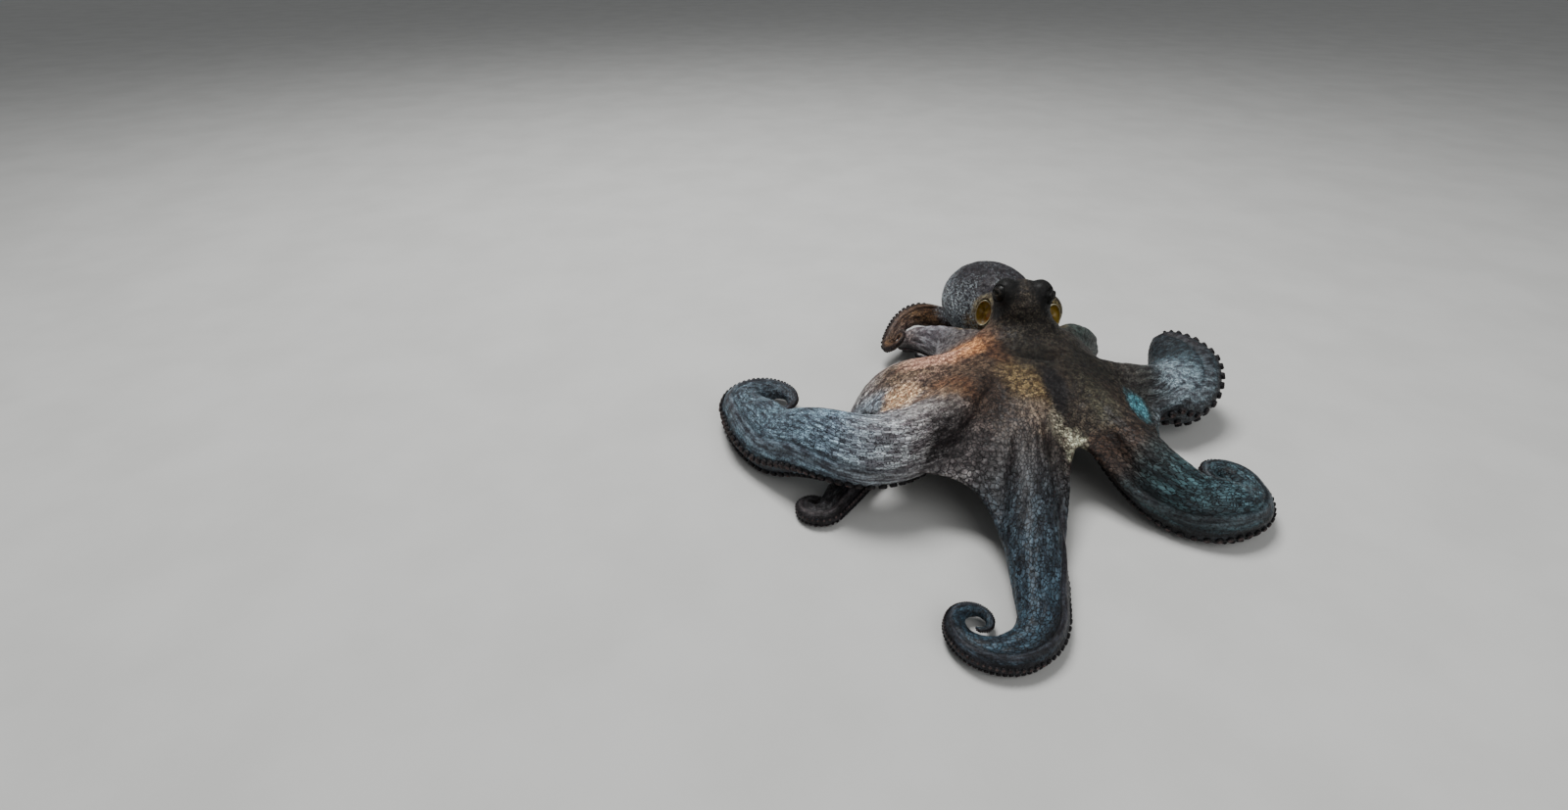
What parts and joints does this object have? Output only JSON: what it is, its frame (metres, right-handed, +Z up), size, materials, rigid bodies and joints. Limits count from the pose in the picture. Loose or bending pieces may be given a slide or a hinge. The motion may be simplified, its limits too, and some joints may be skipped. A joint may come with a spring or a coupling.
{
  "type": "octopus",
  "caption": "Common octopus crawling over the sea floor, arms spread with coiled ends, webs between them, head raised and rounded mantle behind, life size.",
  "frame": {"origin": "middle of the animal's bounding box, at the level of the floor it lies on", "axes": "+Z up from the floor, -Y the way the animal faces, +X towards the animal's left"},
  "size_m": [0.4735, 0.4924, 0.1328],
  "materials": {
    "skin": "wet, finely netted skin",
    "eye": "clear wet eye with a dark slit pupil",
    "opening": "smooth and wet",
    "mouth": "smooth and wet"
  },
  "bodies": {
    "root": {"head": "skin", "left_arm_1_base": "skin", "left_arm_1_end": "skin", "left_arm_1_middle": "skin", "left_arm_2_base": "skin", "left_arm_2_end": "skin", "left_arm_2_middle": "skin", "left_arm_3_base": "skin", "left_arm_3_end": "skin", "left_arm_3_middle": "skin", "left_arm_4_base": "skin", "left_arm_4_end": "skin", "left_arm_4_middle": "skin", "left_eye": "eye", "left_mantle_opening": "opening", "mantle": "skin", "mouth": "mouth", "right_arm_1_base": "skin", "right_arm_1_end": "skin", "right_arm_1_middle": "skin", "right_arm_2_base": "skin", "right_arm_2_end": "skin", "right_arm_2_middle": "skin", "right_arm_3_base": "skin", "right_arm_3_end": "skin", "right_arm_3_middle": "skin", "right_arm_4_base": "skin", "right_arm_4_end": "skin", "right_arm_4_middle": "skin", "right_eye": "eye", "right_mantle_opening": "opening"}
  },
  "joints": []
}
